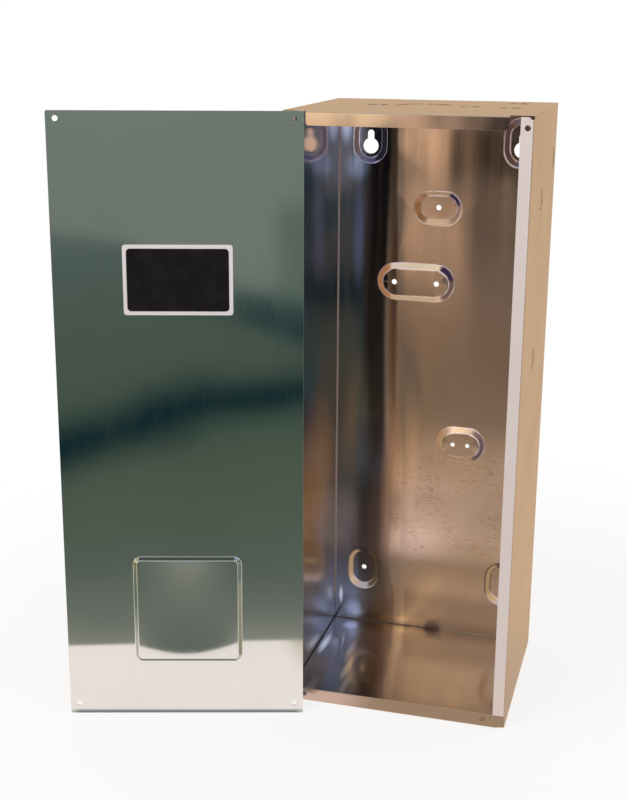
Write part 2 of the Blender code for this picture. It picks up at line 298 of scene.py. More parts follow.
# What the mirror-like steel shows of the room. Rises above level and turns to the right are
# degrees, ramps are (rise, colour), and a third number is the softness of both edges
room = {
    "degrees": 57.3,  # in a radian
    "cloud": (7.0, 3.0, 0.55),
    "cloudStretch": (1, 1, 2),
    "wander": 3,
    "coverTurn": 6.5,
    "right": (
        (-30, (0.34, 0.30, 0.29)),
        (-22.3, (0.40, 0.34, 0.31)),
        (-20.8, (0.205, 0.195, 0.175)),
        (-18.5, (0.128, 0.138, 0.120)),
        (-16, (0.114, 0.128, 0.098)),
        (-13, (0.088, 0.112, 0.088)),
        (-9, (0.100, 0.118, 0.100)),
        (-5, (0.110, 0.135, 0.125)),
        (2, (0.26, 0.27, 0.27)),
        (6, (1.20, 1.15, 1.12)),
        (15, (1.20, 1.15, 1.12)),
        (19, (0.36, 0.40, 0.52)),
        (31, (0.42, 0.46, 0.60)),
        (36, (0.16, 0.15, 0.15)),
        (52, (0.16, 0.15, 0.15)),
    ),
    "light": {  # the pale upper part of the cover
        "colour": (0.235, 0.240, 0.225),
        "foot": 4.2,  # below level
        "slope": 0.1,
        "step": 1.8,
        "stepTurn": (8.6, 10.4),
        "edge": (-0.5, 0.4),
        "top": (-1, 4),
    },
    "corner": {"colour": (0.12, 0.15, 0.13), "turn": (15.2, 15.7), "rise": (-8, -3.5, 0.7), "share": 0.8},
    "arc": {"colour": (0.015, 0.040, 0.050), "rise": (-1.7, -0.5, 0.3), "turn": (8.4, 10.4)},
    "arcPatches": (0.45, 0.55),
    "arcLeast": 0.6,
    "band": {"colour": (0.000, 0.018, 0.028), "rise": (-0.9, 1.2, 1.0), "foot": 13.6, "slope": 0.25},
    "left": (
        (-30, (0.64, 0.48, 0.38)),
        (-22, (0.78, 0.58, 0.44)),
        (-19.6, (0.82, 0.59, 0.43)),
        (-18.2, (0.34, 0.24, 0.17)),
        (-16.5, (0.25, 0.18, 0.13)),
        (-13, (0.33, 0.23, 0.165)),
        (-9, (0.60, 0.41, 0.30)),
        (-5.5, (0.98, 0.66, 0.46)),
        (-3.8, (0.72, 0.52, 0.42)),
        (2, (1.05, 0.88, 0.76)),
        (12, (1.05, 0.90, 0.80)),
        (18, (0.46, 0.36, 0.31)),
        (32, (0.40, 0.31, 0.27)),
        (38, (0.16, 0.13, 0.12)),
        (52, (0.16, 0.13, 0.12)),
    ),
    "leftGlare": {"colour": (1.25, 1.02, 0.74), "turn": (10.3, 14.8), "rise": (-4.8, -3.9)},
    "leftUpper": {"colour": (0.82, 0.60, 0.43), "turn": (10.8, 11.6), "rise": (18, 34, 3)},
    "leftShade": (
        (-30, (0.62, 0.47, 0.37)),
        (-21, (0.62, 0.46, 0.35)),
        (-19.1, (0.58, 0.43, 0.33)),
        (-17.6, (0.25, 0.185, 0.145)),
        (-12, (0.22, 0.165, 0.135)),
        (-9, (0.16, 0.125, 0.105)),
        (-7.7, (0.030, 0.025, 0.021)),
        (-4.6, (0.030, 0.025, 0.021)),
        (-4.0, (0.11, 0.09, 0.08)),
        (-1, (0.14, 0.12, 0.11)),
        (8, (0.30, 0.27, 0.27)),
        (25, (0.40, 0.32, 0.29)),
        (38, (0.16, 0.13, 0.12)),
        (52, (0.16, 0.13, 0.12)),
    ),
    "shadeTurn": (-11.0, -8.2),
    "shadeWander": 0.15,
    "cornerShade": {"colour": (0.055, 0.078, 0.095), "turn": (-13.9, -12.3, 0.35), "rise": (-4.8, -4.2)},
    "leftToRight": (-4, 2),
    "glint": {"colour": (1.25, 1.25, 1.55), "turn": (-2.2, 0.2, 0.5), "rise": (30, 34)},
    "flare": {"colour": (0.95, 0.95, 0.95), "turn": (24, 46, 4), "rise": (6, 12), "share": 0.8},
    "leftSide": (0.20, 0.145, 0.10),
    "rightSide": (0.36, 0.34, 0.31),
    "sideToSide": (-5, 5),
    "streaks": {"stretch": (5, 5, 1.5), "noise": (2.0, 2.0), "edge": (0.5, 0.6), "share": 0.55},
    "sidesTurn": (42, 58),
    "back": (0.80, 0.58, 0.38),
    "backTurn": (120, 145),
    "ceiling": (0.95, 0.85, 0.74),
    "ceilingRise": (54, 60),
    "window": {"colour": (1.10, 1.00, 1.40), "turn": (26, 58, 3), "rise": (28, 50, 3)},
    "windowPane": {"colour": (0.08, 0.07, 0.28), "turn": (34, 50, 1.5), "rise": (33, 44, 1.5)},
    "studio": (1, 0.98, 0.96, 1),  # what lights all that isn't a mirror
    "studioStrength": 0.75,
}


def bandsOf(tree, rise, stops):
    low, high = stops[0][0], stops[-1][0]
    ramp = [((at - low) / (high - low), tone) for at, tone in stops]
    return tree.node("ValToRGB", {"stops": ramp}, {0: (rise - low) / (high - low)})


def coverRoom(tree, rise, turn, cloud):
    light, corner, arc, band = [room[key] for key in ("light", "corner", "arc", "band")]
    past = turn - room["coverTurn"]
    tone = bandsOf(tree, rise, room["right"])
    step = rise + light["foot"] + light["slope"] * past + light["step"] * span(turn, *light["stepTurn"])
    pale = span(step, *light["edge"]) * (1 - span(rise, *light["top"]))
    tone = mixed(tree, pale, tone, light["colour"])
    inCorner = span(turn, *corner["turn"]) * between(rise, *corner["rise"])
    tone = mixed(tree, inCorner * corner["share"], tone, corner["colour"])
    inArc = between(step, *arc["rise"]) * span(turn, *arc["turn"])
    inArc = inArc * (room["arcLeast"] + (1 - room["arcLeast"]) * span(cloud, *room["arcPatches"]))
    tone = mixed(tree, inArc, tone, arc["colour"])
    sag = rise + band["foot"] - band["slope"] * past
    return mixed(tree, between(sag, *band["rise"]), tone, band["colour"])


def cabinetRoom(tree, rise, turn, wander):
    glare, upper, corner = room["leftGlare"], room["leftUpper"], room["cornerShade"]
    tone = bandsOf(tree, rise, room["left"])
    tone = mixed(tree, span(-turn, *glare["turn"]) * span(rise, *glare["rise"]), tone, glare["colour"])
    tone = mixed(tree, span(-turn, *upper["turn"]) * between(rise, *upper["rise"]), tone, upper["colour"])
    shade = bandsOf(tree, rise, room["leftShade"])
    tone = mixed(tree, span(turn + room["shadeWander"] * wander, *room["shadeTurn"]), tone, shade)
    inCorner = between(turn, *corner["turn"]) * (1 - span(rise, *corner["rise"]))
    return mixed(tree, inCorner, tone, corner["colour"])


def makeRoom():
    world = bpy.data.worlds.new("room")
    bpy.context.scene.world = world
    world.use_nodes = True
    world.node_tree.nodes.clear()
    tree = Wire(world.node_tree)
    where = tree.node("TexCoord", output=0)
    x, y, z = axes(tree, where)
    cloud = noise(tree, stretched(tree, where, room["cloudStretch"]), *room["cloud"])
    wander = (cloud - 0.5) * room["wander"]
    rise = z.math("ARCSINE", z) * room["degrees"] + wander
    turn = x.math("ARCTAN2", x, -y) * room["degrees"]

    cover = coverRoom(tree, rise, turn, cloud)
    cabinet = cabinetRoom(tree, rise, turn, wander)
    tone = mixed(tree, span(turn, *room["leftToRight"]), cabinet, cover)
    glint, flare, streaks = room["glint"], room["flare"], room["streaks"]
    shine = between(turn, *glint["turn"]) * (1 - span(rise, *glint["rise"]))
    tone = mixed(tree, shine, tone, glint["colour"])
    shine = between(turn, *flare["turn"]) * (1 - span(rise, *flare["rise"]))
    tone = mixed(tree, shine * flare["share"], tone, flare["colour"])
    sides = mixed(tree, span(turn, *room["sideToSide"]), room["leftSide"], room["rightSide"])
    streaked = noise(tree, stretched(tree, where, streaks["stretch"]), *streaks["noise"])
    streaked = span(streaked, *streaks["edge"]) * streaks["share"]
    sides = mixed(tree, streaked, sides, room["back"])
    tone = mixed(tree, span(abs(turn), *room["sidesTurn"]), tone, sides)
    tone = mixed(tree, span(abs(turn), *room["backTurn"]), tone, room["back"])
    tone = mixed(tree, span(rise, *room["ceilingRise"]), tone, room["ceiling"])
    for pane in (room["window"], room["windowPane"]):
        mask = between(turn, *pane["turn"]) * between(rise, *pane["rise"])
        tone = mixed(tree, mask, tone, pane["colour"])

    seen = tree.node("Background", values={"Color": (1, 1, 1, 1), "Strength": 1.0})
    shown = tree.node("Background", values={"Color": tone, "Strength": 1.0})
    lit = tree.node("Background", values={"Color": room["studio"], "Strength": room["studioStrength"]})
    camera, glossy, through = [tree.node("LightPath", output=i) for i in (0, 3, 6)]
    first = tree.node("MixShader", values={0: glossy, 1: lit, 2: shown})
    both = tree.node("MixShader", values={0: camera + through, 1: first, 2: seen})
    output = tree.tree.nodes.new("ShaderNodeOutputWorld")
    tree.tree.links.new(both.socket, output.inputs[0])


lampAim = (0, 0, 0.3)
lamps = {
    "keyBox": {"place": (-0.9, -1.3, 1.9), "size": (1.0, 1.0), "power": 14, "tint": (1, 1, 1)},
    "fillBox": {"place": (1.4, -0.6, 1.3), "size": (0.8, 1.2), "power": 8, "tint": (1.0, 0.93, 0.86)},
}


def makeLamp(name, place, size, power, tint):
    data = bpy.data.lights.new(name, "AREA")
    data.shape = "RECTANGLE"
    data.size, data.size_y = size
    data.energy = power
    data.color = tint
    lamp = bpy.data.objects.new(name, data)
    bpy.context.collection.objects.link(lamp)
    direction = Vector(lampAim) - Vector(place)
    lamp.matrix_world = Matrix.Translation(place) @ direction.to_track_quat("-Z", "Y").to_matrix().to_4x4()
    lamp.visible_glossy = False


makeTable()
makeRoom()
for name, lamp in lamps.items():
    makeLamp(name, **lamp)
print("table, room and lamps set")


# What all the sheets share. A noise is (scale, detail, roughness)
sheetLook = {
    "cloud": (9.0, 4.0, 0.55),
    "cloudEdge": (0.35, 0.7),
    "grain": (1.0, 2.0, 0.6),
    "grainEdge": (0.3, 0.75),
    "grainTone": 0.78,
    "grainRough": 0.02,
    "grainRoughEdge": (0.4, 0.8),
    "grainStrength": 0.008,
    "grainDepth": 0.0002,
    "smear": (1.0, 3.0, 0.6),
    "smearStretch": (22, 22, 7),
    "smearEdge": (0.45, 0.8),
    "wave": (1.0, 1.0, 0.4),
    "waveStrength": 0.4,
}


# Base colour, roughness and normal of a rolled sheet
def rolledSteel(tree, where, look):
    cloud = noise(tree, where, *sheetLook["cloud"])
    grain = noise(tree, stretched(tree, where, look["grain"]), *sheetLook["grain"])
    smear = noise(tree, stretched(tree, where, sheetLook["smearStretch"]), *sheetLook["smear"])
    tone = mixed(tree, span(cloud, *sheetLook["cloudEdge"]), look["base"], look["deep"])
    grained = span(grain, *sheetLook["grainEdge"]) * look["grainShare"]
    tone = mixed(tree, grained, tone, [c * sheetLook["grainTone"] for c in look["base"]])
    rough = look["roughness"] + span(smear, *sheetLook["smearEdge"]) * look["smear"]
    rough = rough + span(grain, *sheetLook["grainRoughEdge"]) * sheetLook["grainRough"]
    wave = noise(tree, stretched(tree, where, look["wave"]), *sheetLook["wave"])
    coarse = {"Strength": sheetLook["waveStrength"], "Distance": look["waveDepth"], "Height": wave}
    fine = {"Strength": sheetLook["grainStrength"], "Distance": sheetLook["grainDepth"], "Height": grain}
    fine["Normal"] = tree.node("Bump", values=coarse)
    return tone, rough, tree.node("Bump", values=fine)


# Painted reflections, highlights and shade on a pad's sloped edge, by its side of the pad and by height
padLook = {
    "depth": 0.005,
    "skin": 0.0002,  # of the depth, left to the flat faces
    "skinSoft": 0.0001,
    "ends": (0.006, 0.001),  # from the cabinet's floor and top, and how soft
    "sides": (0.118, 0.121),  # from the cabinet's middle
    "facing": (-0.2, 0.0),
    "line": 0.0008,  # of the depth, drawn bright along both edges of the slope
    "lineSoft": 0.0002,
    "upright": (0.15, 0.40),
    "level": (0.05, 0.2),
    "sideways": (0.12, 0.30),
    "share": 0.9,
    # Painted highlight lines along the slope's edges, dark on the low pads, and a painted dark reflection
    # at the upper right
    "edge": (0.96, 0.92, 1.0),
    "lowEdge": (0.14, 0.11, 0.10),
    "lowEdgeFacing": (-0.4, 0.0),
    "core": (0.08, 0.06, 0.17),  # at the upper right
    "coreFacing": (0.10, 0.25),
    "coreFoot": (0.3, 0.31),
    "lowPads": (0.20, 0.21),
    "topPads": (0.57, 0.58),
    "patches": (0.42, 0.58),
    "patchScale": 70.0,
    "patchShare": 0.35,
    "lowLine": 0.3,  # more of the line on the low pads
    "lineRight": 0.5,
    "topLine": 1.4,
    "topLineFacing": (0.0, 0.3),
    "left": (
        (0.15, (0.98, 0.78, 0.54)),
        (0.18, (0.66, 0.50, 0.35)),
        (0.30, (0.66, 0.50, 0.35)),
        (0.38, (0.75, 0.47, 0.26)),
        (0.49, (0.75, 0.47, 0.26)),
        (0.505, (0.46, 0.29, 0.17)),
        (0.57, (0.46, 0.29, 0.17)),
        (0.575, (0.20, 0.14, 0.14)),
        (0.666, (0.20, 0.14, 0.14)),
    ),
    "right": (
        (0.15, (0.32, 0.25, 0.15)),
        (0.18, (0.28, 0.22, 0.26)),
        (0.30, (0.28, 0.22, 0.26)),
        (0.38, (0.30, 0.22, 0.20)),
        (0.49, (0.30, 0.22, 0.20)),
        (0.505, (0.62, 0.46, 0.38)),
        (0.57, (0.62, 0.46, 0.38)),
        (0.575, (0.05, 0.05, 0.07)),
        (0.666, (0.05, 0.05, 0.07)),
    ),
    "above": (
        (0.15, (0.13, 0.11, 0.11)),
        (0.18, (0.95, 0.78, 0.60)),
        (0.30, (0.95, 0.78, 0.60)),
        (0.38, (1.0, 0.90, 0.74)),
        (0.49, (1.0, 0.90, 0.74)),
        (0.505, (0.58, 0.45, 0.34)),
        (0.57, (0.58, 0.45, 0.34)),
        (0.575, (0.20, 0.20, 0.30)),
        (0.666, (0.20, 0.20, 0.30)),
    ),
    "below": (
        (0.15, (0.92, 0.90, 0.98)),
        (0.18, (0.66, 0.52, 0.40)),
        (0.30, (0.66, 0.52, 0.40)),
        (0.38, (0.84, 0.70, 0.55)),
        (0.57, (0.84, 0.70, 0.55)),
        (0.575, (0.16, 0.17, 0.30)),
        (0.666, (0.16, 0.17, 0.30)),
    ),
    "plain": 0.45,  # share of the slope's colour that is not mirrored
    "glow": 0.45,  # share of the square of its colour added as a gleam
    "lowGlow": 0.35,  # share of that on the low pads
    "glowRise": (0.2, 0.24),
    "roughness": 0.16,
}


# Paints reflections, highlight lines and shade on the slopes of the pads whose flats lie depth behind foot,
# or in front where it is negative
def padSlopes(tree, where, foot, top, tone, depth):
    look = padLook
    x, y, z = axes(tree, where)
    nx, ny, nz = axes(tree, facingOf(tree))
    toward = 1 if depth > 0 else -1
    near, far = sorted((foot, foot + depth))
    end, endSoft = look["ends"]
    slope = between(y, near + look["skin"], far - look["skin"], look["skinSoft"])
    slope = slope * between(z, end, top - end, endSoft)
    slope = slope * (1 - span(ny, *look["facing"])) * (1 - span(abs(x), *look["sides"]))
    line = slope * (1 - between(y, near + look["line"], far - look["line"], look["lineSoft"]))
    toRight = toward * nx
    toTop = toward * nz
    upright = span(abs(nx), *look["upright"])
    sides = (
        ("above", slope * span(-toTop, *look["level"]) * (1 - upright)),
        ("below", slope * span(toTop, *look["level"]) * (1 - upright)),
        ("left", slope * span(toRight, *look["sideways"])),
        ("right", slope * span(-toRight, *look["sideways"])),
    )
    for side, mask in sides:
        tone = mixed(tree, mask * look["share"], tone, heights(tree, z, look[side]))
    core = slope * span(-toRight, *look["coreFacing"]) * span(-toTop, *look["level"])
    core = core * span(z, *look["coreFoot"]) * look["share"]
    tone = mixed(tree, core, tone, look["core"])
    low = 1 - span(z, *look["lowPads"])
    high = span(z, *look["topPads"])
    patches = span(noise(tree, where, look["patchScale"]), *look["patches"])
    patchy = look["patchShare"] + low * look["lowLine"] + look["patchShare"] * patches
    bright = (1 - high) * span(-toRight - look["lineRight"] * toTop, *look["level"]) + low
    bright = bright + high * span(toRight + toTop, *look["topLineFacing"]) * look["topLine"]
    edge = mixed(tree, low * span(-toTop, *look["lowEdgeFacing"]), look["edge"], look["lowEdge"])
    return mixed(tree, line * patchy * bright.atMost(1.0), tone, edge), slope


# Places are metres on the piece or from one of its edges, and a third number is the softness
cabinetLook = {
    "sheet": 0.0012,
    "base": (0.74, 0.64, 0.53),
    "deep": (0.66, 0.56, 0.46),
    "roughness": 0.06,
    "smear": 0.03,
    "grain": (420, 420, 6),
    "grainShare": 0.06,
    "wave": (16, 16, 5),
    "waveDepth": 0.0022,
    "outside": 0.32,  # more roughness on the top, the back and the underside
    "topFace": (-0.003, -0.0025),
    "topFacing": (0.1, 0.3),
    "backFace": (-0.0065, -0.006),
    "backFacing": (0.0, 0.2),
    "underside": (0.00035, 0.0007),
    "behindLips": (0.004, 0.008),
    "level": (0.0015, 0.0030),  # the floor's top
    "levelRough": 0.08,
    "lower": (0.12, 0.30),  # the duller lower part of the back
    "lowerFoot": (0.002, 0.02),
    "lowerRough": 0.15,
    # Where the painted dark reflection on the left part of the back ends, by height as (z, x), and how it
    # spreads on the floor
    "border": (
        (0.0, 0.076),
        (0.05, 0.075),
        (0.09, 0.067),
        (0.36, 0.070),
        (0.48, 0.072),
        (0.55, 0.078),
        (0.666, 0.076),
    ),
    "borderSpread": 0.13,
    "ragged": 0.012,
    "raggedStretch": (30, 30, 6),
    "raggedNoise": (1.0, 3.0),
    # Painted reflection: bluish and dark tones by height over the left part of the back and floor
    "cool": (
        (0.0, (0.54, 0.58, 0.65)),
        (0.08, (0.44, 0.49, 0.56)),
        (0.125, (0.16, 0.20, 0.27)),
        (0.19, (0.14, 0.18, 0.26)),
        (0.26, (0.36, 0.38, 0.44)),
        (0.34, (0.56, 0.54, 0.58)),
        (0.50, (0.60, 0.62, 0.76)),
        (0.666, (0.70, 0.76, 1.0)),
    ),
    "coolEdge": (-0.030, -0.016),
    "coolShare": 0.95,
    # Painted shade in a strip along the dark part's border, softened at its top
    "dim": (
        (0.0, (0.52, 0.45, 0.36)),
        (0.08, (0.25, 0.18, 0.11)),
        (0.12, (0.09, 0.08, 0.08)),
        (0.18, (0.08, 0.09, 0.11)),
        (0.22, (0.13, 0.26, 0.48)),
        (0.264, (0.10, 0.22, 0.46)),
        (0.32, (0.24, 0.48, 0.70)),
        (0.45, (0.42, 0.54, 0.70)),
        (0.666, (0.34, 0.42, 0.52)),
    ),
    "dimEdges": (-0.041, -0.006, 0.009),
    "dimShare": 0.8,
    "narrow": (0.30, 0.26, 0.24),  # softens the dark part's upper border
    "narrowEdges": (-0.005, 0.003, 0.003),
    "narrowFoot": (0.22, 0.27),
    "narrowShare": 0.5,
    # Painted light: the inside made brighter beside the dark part and across the low back
    "wearAndPaintedLight": (0.98, 0.86, 0.70),  # brighter beside the dark part, and across the low back
    "paintedLightStrip": (0.005, 0.018, 0.003),
    "paintedLightTop": (0.20, 0.26),
    "paintedLightLow": (0.05, 0.108, 0.012),
    "paintedLightEdge": (0.0, 0.012),
    "paintedLightShare": 0.9,
    # A darker band low on the back, right of the dark part
    "darkerBand": (0.52, 0.41, 0.29),
    "darkerBandRise": (0.135, 0.185, 0.015),
    "darkerBandEdge": (-0.002, 0.006),
    "darkerBandEnd": (0.0, 0.06),
    "darkerBandShare": 0.5,
    "dash": (0.46, 0.29, 0.17),
    "dashStretch": (120, 120, 430),
    "dashNoise": (1.0, 2.0, 0.5),
    "dashEdge": (0.54, 0.66),
    "dashAcross": (-0.055, 0.090, 0.015),
    "dashRise": (0.09, 0.245, 0.02),
    "dashPatchScale": 34.0,
    "dashPatches": (0.38, 0.58),
    "dashShare": 0.5,
    # Painted shade: a dark line along the fold between back and floor, and along the floor's seam with the
    # left wall
    "crease": (0.025, 0.017, 0.012),  # the line of the fold between back and floor
    "creaseReach": (0.0006, 0.0013),
    "creaseShare": 0.8,
    "creaseFade": 0.45,
    "creaseFadeEnds": (-0.03, 0.03),
    "floorSeam": (0.0020, 0.0032),  # along the left wall
    "floorSeamShare": 0.9,
    # Painted highlight: a pale, less mirror-like line up the back's left edge
    "seam": (0.92, 0.78, 0.72),  # up the back's left edge
    "seamWidth": (0.0019, 0.0025),
    "seamFoot": (0.02, 0.04),
    "seamFace": (-0.001, 0.0),
    "seamPlain": 0.6,
    # Painted shade: patchy darkening near the fold, a darker spot on it, and the side walls' seams
    "foldAndSeamShade": (0.13, 0.085, 0.055),
    "patchNoise": (60.0, 4.0, 0.6),
    "foldShadeReach": (0.0015, 0.0085),
    "foldShadePatches": (0.36, 0.68),
    "foldShadeShare": 0.35,
    "foldSpot": (0.003, 0.004),  # its x and z
    "foldSpotRagged": 0.02,
    "foldSpotReach": (0.006, 0.016),
    "foldSpotShare": 0.6,
    "foldShadeRough": 0.35,
    "foldShadePlain": 0.5,
    # Painted shade: the lower lip's front is darker
    "lip": (0.395, 0.345, 0.275),
    "lipFront": (0.0004, 0.0006),
    "lipTop": (0.018, 0.020),
    "lipShare": 0.8,
    # Painted light: the back of the lower lip is pale and matt, so its reflection in the back is bright
    "lipBackLight": (0.88, 0.68, 0.50),  # on the back of the lower lip
    "lipBack": (0.0006, 0.0028, 0.0003),
    "lipBackAndSeamRough": 0.4,
    "lipBackLightPlain": 0.95,
    # Painted shade: the top and the right end of the top lip are darker
    "top": (0.58, 0.51, 0.44),
    "topShare": 0.8,
    "topLipEnd": (0.36, 0.32, 0.29),
    "topLipFoot": (0.6, 0.61),
    "topLipEnds": (-0.03, 0.07),
    "topLipShare": 0.85,
    "bend": (0.016, 0.032),  # where the back turns a little, from its left edge
    "bendHeight": 0.0013,
    "bendRagged": 0.4,
    "bendGap": (0.14, 0.57, 0.06),  # heights without it
    "gleams": (
        ((-0.1175, 0.110, 0.642), (0.010, 0.01, 0.034), (0.28, 0.33, 0.46)),
        ((-0.104, 0.110, 0.588), (0.019, 0.01, 0.022), (0.07, 0.095, 0.16)),
        ((-0.101, 0.110, 0.505), (0.009, 0.01, 0.085), (0.025, 0.025, 0.07)),
        ((-0.033, 0.110, 0.250), (0.018, 0.01, 0.120), (0.15, 0.075, 0.03)),
        ((-0.118, 0.110, 0.034), (0.0035, 0.01, 0.016), (0.32, 0.34, 0.40)),
        ((-0.102, 0.110, 0.017), (0.015, 0.01, 0.017), (0.11, 0.14, 0.21)),
        ((-0.100, 0.090, 0.001), (0.014, 0.016, 0.01), (0.12, 0.15, 0.23)),
        ((-0.118, 0.030, 0.001), (0.006, 0.034, 0.01), (0.30, 0.33, 0.38)),
        ((-0.082, 0.022, 0.001), (0.006, 0.040, 0.01), (0.12, 0.08, 0.05)),
        ((-0.0745, -0.022, 0.001), (0.006, 0.042, 0.01), (0.18, 0.12, 0.07)),
        ((-0.067, -0.066, 0.001), (0.006, 0.036, 0.01), (0.08, 0.06, 0.05)),
    ),
}


def cabinetSteel():
    look = cabinetLook
    material, tree = newTree("cabinetSteel")
    where = placeOf(tree)
    x, y, z = axes(tree, where)
    ny, nz = axes(tree, facingOf(tree))[1:]
    low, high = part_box("wrapper")
    inner = high.y - padLook["depth"] - look["sheet"]  # inside of the back
    tone, rough, bump = rolledSteel(tree, where, look)
    topFace = spanFrom(z, high.z, look["topFace"]) * span(nz, *look["topFacing"])
    backFace = spanFrom(y, inner, look["backFace"]) * span(ny, *look["backFacing"])
    outside = (topFace + backFace + 1 - spanFrom(z, low.z, look["underside"])).atMost(1.0)
    inside = 1 - outside
    deep = inside * spanFrom(y, low.y, look["behindLips"])
    level = inside * (1 - span(z, *look["level"]))

    # Painted dark reflection and shade on the left part, and painted light beside it
    ragged = noise(tree, stretched(tree, where, look["raggedStretch"]), *look["raggedNoise"])
    ragged = (ragged - 0.5) * look["ragged"]
    border = heights(tree, z, [(at, (wide,) * 3) for at, wide in look["border"]])
    border = border.vector("DOT_PRODUCT", (1, 0, 0))
    beyond = x + ragged - low.x - border - (inner - y) * look["borderSpread"]
    cool = deep * (1 - span(beyond, *look["coolEdge"])) * look["coolShare"]
    tone = mixed(tree, cool, tone, heights(tree, z, look["cool"]))
    dim = deep * between(beyond, *look["dimEdges"]) * look["dimShare"]
    tone = mixed(tree, dim, tone, heights(tree, z, look["dim"]))
    narrow = deep * between(beyond, *look["narrowEdges"]) * span(z, *look["narrowFoot"])
    tone = mixed(tree, narrow * look["narrowShare"], tone, look["narrow"])
    strip = (1 - span(z, *look["paintedLightTop"])) * between(beyond, *look["paintedLightStrip"])
    wearAndPaintedLight = strip + between(z, *look["paintedLightLow"]) * span(beyond, *look["paintedLightEdge"])
    tone = mixed(tree, deep * wearAndPaintedLight.atMost(1.0) * look["paintedLightShare"], tone, look["wearAndPaintedLight"])
    darkerBand = deep * between(z, *look["darkerBandRise"]) * span(beyond, *look["darkerBandEdge"])
    darkerBand = darkerBand * (1 - span(x, *look["darkerBandEnd"])) * look["darkerBandShare"]
    tone = mixed(tree, darkerBand, tone, look["darkerBand"])
    dashes = noise(tree, stretched(tree, where, look["dashStretch"]), *look["dashNoise"])
    dashed = inside * between(x, *look["dashAcross"]) * between(z, *look["dashRise"])
    dashed = dashed * span(noise(tree, where, look["dashPatchScale"]), *look["dashPatches"])
    dashed = dashed * span(dashes, *look["dashEdge"])

    # Painted shade along folds and seams, a painted highlight up the back's left edge, and the dashes
    fold = tree.node("CombineXYZ", values={0: 0.0, 1: y - inner, 2: z - look["sheet"]}).vector("LENGTH")
    crease = inside * (1 - span(fold, *look["creaseReach"]))
    crease = crease * (look["creaseShare"] - look["creaseFade"] * span(x, *look["creaseFadeEnds"]))
    floorSeam = look["floorSeamShare"] * level * (1 - spanFrom(x, low.x, look["floorSeam"]))
    crease = (crease + floorSeam).atMost(1.0)
    seam = deep * (1 - spanFrom(x, low.x, look["seamWidth"])) * span(z, *look["seamFoot"])
    seam = seam * spanFrom(y, inner, look["seamFace"])
    tone = mixed(tree, seam, tone, look["seam"])
    tone = mixed(tree, dashed * look["dashShare"], tone, look["dash"])
    patch = noise(tree, where, *look["patchNoise"])
    foldShade = inside * (1 - span(fold, *look["foldShadeReach"])) * span(patch, *look["foldShadePatches"])
    foldSpot = where.vector("DISTANCE", (look["foldSpot"][0], inner, look["foldSpot"][1]))
    foldSpot = inside * (1 - span(foldSpot + (patch - 0.5) * look["foldSpotRagged"], *look["foldSpotReach"]))
    foldShade = (foldShade * look["foldShadeShare"] + foldSpot * look["foldSpotShare"]).atMost(1.0)

    # The pads' painted reflections and highlights, added as colour and as glow, and the gleams
    tone, pressedBack = padSlopes(tree, where, inner, high.z, tone, padLook["depth"])
    tone, pressedForward = padSlopes(tree, where, inner, high.z, tone, -padLook["depth"])
    slopes = (pressedBack + pressedForward).atMost(1.0)
    lowGlow = padLook["lowGlow"]
    glow = slopes * padLook["glow"] * (lowGlow + (1 - lowGlow) * span(z, *padLook["glowRise"]))
    glow = mixed(tree, glow, (0, 0, 0), tone.vector("MULTIPLY", tone))
    glow = gleams(tree, where, look["gleams"], deep, glow)

    tone = mixed(tree, foldShade, tone, look["foldAndSeamShade"])
    tone = mixed(tree, crease, tone, look["crease"])
    front = 1 - spanFrom(y, low.y, look["lipFront"])
    bottomLip = 1 - span(z, *look["lipTop"])
    near, far, soft = look["lipBack"]
    lipBack = inside * between(y, low.y + near, low.y + far, soft) * bottomLip
    topLip = inside * front * span(z, *look["topLipFoot"]) * span(x, *look["topLipEnds"])
    # Painted shade on the lower lip's front, the top and the top lip's end, and painted light on the lip's
    # back
    tone = mixed(tree, (1 - deep) * bottomLip * front * look["lipShare"], tone, look["lip"])
    tone = mixed(tree, lipBack, tone, look["lipBackLight"])
    tone = mixed(tree, topFace * look["topShare"], tone, look["top"])
    tone = mixed(tree, topLip * look["topLipShare"], tone, look["topLipEnd"])

    lower = inside * (1 - span(z, *look["lower"])) * span(z, *look["lowerFoot"])
    rough = rough + outside * look["outside"] + level * look["levelRough"] + lower * look["lowerRough"]
    rough = rough + foldShade * look["foldShadeRough"] + (lipBack + seam) * look["lipBackAndSeamRough"]
    rough = rough + slopes * padLook["roughness"]
    bend = span(x - low.x + ragged * look["bendRagged"], *look["bend"]) * (1 - between(z, *look["bendGap"]))
    turned = {"Strength": 1.0, "Distance": look["bendHeight"], "Height": bend * deep, "Normal": bump}
    plain = foldShade * look["foldShadePlain"] + crease + seam * look["seamPlain"]
    plain = (plain + lipBack * look["lipBackLightPlain"] + slopes * padLook["plain"]).atMost(1.0)
    shaded(tree, tone, rough, tree.node("Bump", values=turned), metallic=1 - plain, glow=glow)
    return material


